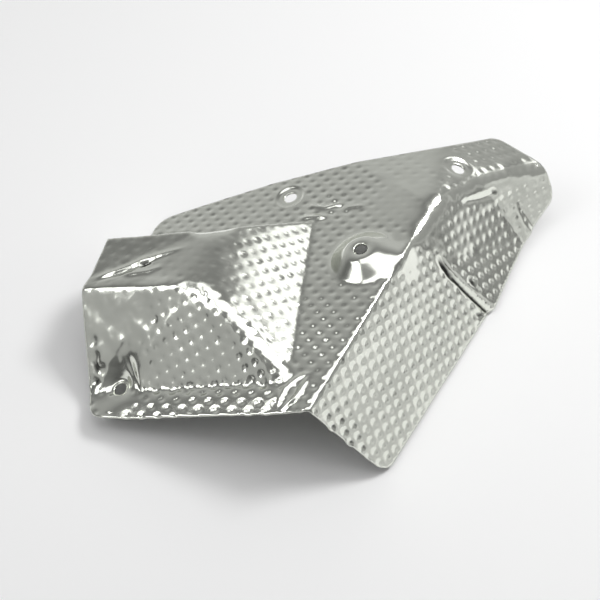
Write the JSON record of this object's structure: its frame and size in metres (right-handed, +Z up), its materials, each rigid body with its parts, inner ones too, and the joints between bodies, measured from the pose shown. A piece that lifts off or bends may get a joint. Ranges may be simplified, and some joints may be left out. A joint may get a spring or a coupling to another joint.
{
  "type": "tail light heat insulator",
  "caption": "Faceted heat shield pressed from dimpled aluminium sheet, with a folded-down flap, a raised bulge, a domed boss and screw holes, that shields a tail light from heat.",
  "frame": {"origin": "centre of the bounding box in plan, on the plane that the shield rests on", "axes": "+Z up from the rest plane, +X to the flap's side, +Y to the tip and the back edge"},
  "size_m": [0.2302, 0.1698, 0.052],
  "materials": {
    "bright_aluminium": "bright rolled foil, embossed all over with small round dimples"
  },
  "bodies": {
    "root": {"heat_shield": "bright_aluminium"}
  },
  "joints": []
}
